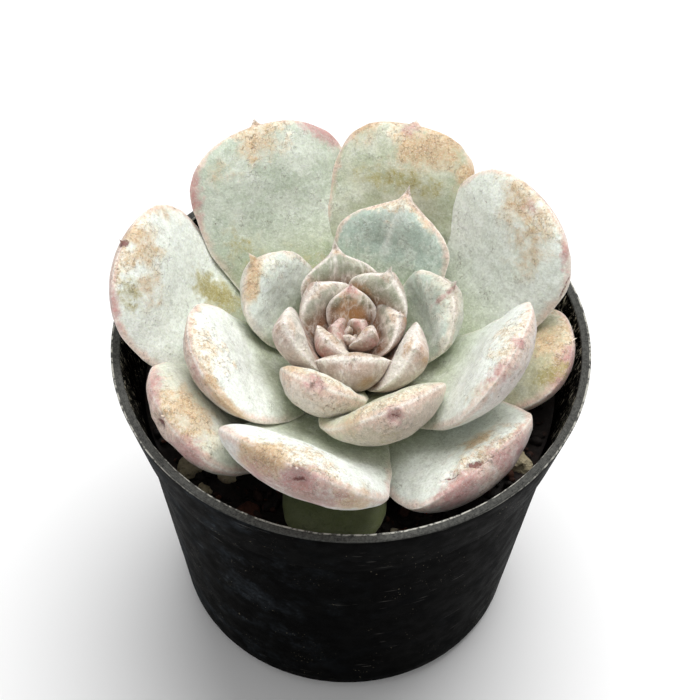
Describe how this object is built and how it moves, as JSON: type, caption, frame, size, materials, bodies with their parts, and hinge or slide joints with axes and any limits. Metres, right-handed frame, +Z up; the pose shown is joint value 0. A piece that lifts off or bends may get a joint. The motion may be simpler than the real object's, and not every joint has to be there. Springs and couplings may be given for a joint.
{
  "type": "potted echeveria succulent",
  "caption": "Lilith echeveria: a rosette of thick, blunt, pale grey-green leaves with blushed tips and a dusky pink heart, growing in gritty soil in a round black plastic nursery pot.",
  "frame": {"origin": "centre of the underside of the pot, on the surface that it stands on", "axes": "+Z up the pot's axis; -Y towards the front, where the lowest leaf lies over the soil; +X to the right seen from the front"},
  "size_m": [0.0904, 0.0892, 0.0934],
  "materials": {
    "leaf": "fleshy leaf with a matte, waxy white bloom and peach blushed margins",
    "heart": "young leaf, dusky pink, with a matte waxy bloom",
    "pot": "black injection-moulded polypropylene, satin, scuffed and dusty",
    "soil": "dark, crumbly bark and peat potting mix",
    "pumice": "rough, porous, cream pumice grit",
    "bark": "rough, reddish brown composted bark"
  },
  "bodies": {
    "root": {"pot": "pot", "soil": "soil", "stem_and_heart": "heart", "leaf_01": "leaf", "leaf_02": "leaf", "leaf_03": "leaf", "leaf_04": "leaf", "leaf_05": "leaf", "leaf_06": "leaf", "leaf_07": "leaf", "leaf_08": "leaf", "leaf_09": "leaf", "leaf_10": "leaf", "leaf_11": "leaf", "leaf_12": "leaf", "leaf_13": "leaf", "leaf_14": "leaf", "leaf_15": "leaf", "leaf_16": "leaf", "leaf_17": "leaf", "pumice_chip_1": "pumice", "pumice_chip_2": "pumice", "pumice_chip_3": "pumice", "pumice_chip_4": "pumice", "pumice_chip_5": "pumice", "pumice_chip_6": "pumice", "bark_chip_1": "bark", "bark_chip_2": "bark", "bark_chip_3": "bark"}
  },
  "joints": []
}
